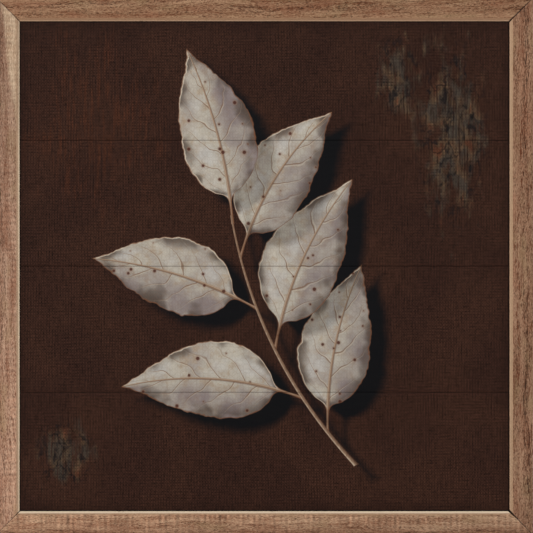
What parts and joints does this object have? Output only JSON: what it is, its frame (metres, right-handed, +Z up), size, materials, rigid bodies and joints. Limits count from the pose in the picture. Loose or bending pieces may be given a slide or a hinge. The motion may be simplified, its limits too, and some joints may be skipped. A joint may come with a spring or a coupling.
{
  "type": "framed picture on planks",
  "caption": "Square picture printed on lapped wooden planks, in a mitred wooden frame with a chamfered inner edge, battens and a sawtooth hanger behind.",
  "frame": {"origin": "the point of the wall plane, behind the middle of the top rail, where the nail in the wall carries the middle notch of the sawtooth hanger", "axes": "+Z up; +Y points through the picture into the wall, so the picture faces -Y; +X to the right as the picture is looked at"},
  "size_m": [0.61, 0.0413, 0.6101],
  "materials": {
    "frame_wood": "matt brown stained wood with open dark pores",
    "printed_wood": "dark brown print with a pale botanical motif on wooden planks, satin",
    "raw_pine": "unfinished sawn pine",
    "zinc_steel": "zinc plated",
    "black_rubber": "matt black rubber"
  },
  "bodies": {
    "root": {"frame_rail_top": "frame_wood", "frame_rail_bottom": "frame_wood", "frame_rail_left": "frame_wood", "frame_rail_right": "frame_wood", "plank_1": "printed_wood", "plank_2": "printed_wood", "plank_3": "printed_wood", "plank_4": "printed_wood", "batten_left": "raw_pine", "batten_right": "raw_pine", "batten_screw_left_1": "zinc_steel", "batten_screw_left_2": "zinc_steel", "batten_screw_left_3": "zinc_steel", "batten_screw_left_4": "zinc_steel", "batten_screw_left_5": "zinc_steel", "batten_screw_left_6": "zinc_steel", "batten_screw_left_7": "zinc_steel", "batten_screw_left_8": "zinc_steel", "batten_screw_right_1": "zinc_steel", "batten_screw_right_2": "zinc_steel", "batten_screw_right_3": "zinc_steel", "batten_screw_right_4": "zinc_steel", "batten_screw_right_5": "zinc_steel", "batten_screw_right_6": "zinc_steel", "batten_screw_right_7": "zinc_steel", "batten_screw_right_8": "zinc_steel", "framer_point_top_1": "zinc_steel", "framer_point_top_2": "zinc_steel", "framer_point_bottom_1": "zinc_steel", "framer_point_bottom_2": "zinc_steel", "framer_point_left_1": "zinc_steel", "framer_point_left_2": "zinc_steel", "framer_point_left_3": "zinc_steel", "framer_point_left_4": "zinc_steel", "framer_point_right_1": "zinc_steel", "framer_point_right_2": "zinc_steel", "framer_point_right_3": "zinc_steel", "framer_point_right_4": "zinc_steel", "v_nail_bottom_left_1": "zinc_steel", "v_nail_bottom_left_2": "zinc_steel", "v_nail_top_left_1": "zinc_steel", "v_nail_top_left_2": "zinc_steel", "v_nail_top_right_1": "zinc_steel", "v_nail_top_right_2": "zinc_steel", "v_nail_bottom_right_1": "zinc_steel", "v_nail_bottom_right_2": "zinc_steel", "sawtooth_hanger": "zinc_steel", "hanger_nail_left": "zinc_steel", "hanger_nail_right": "zinc_steel", "wall_bumper_left": "black_rubber", "wall_bumper_right": "black_rubber"}
  },
  "joints": []
}
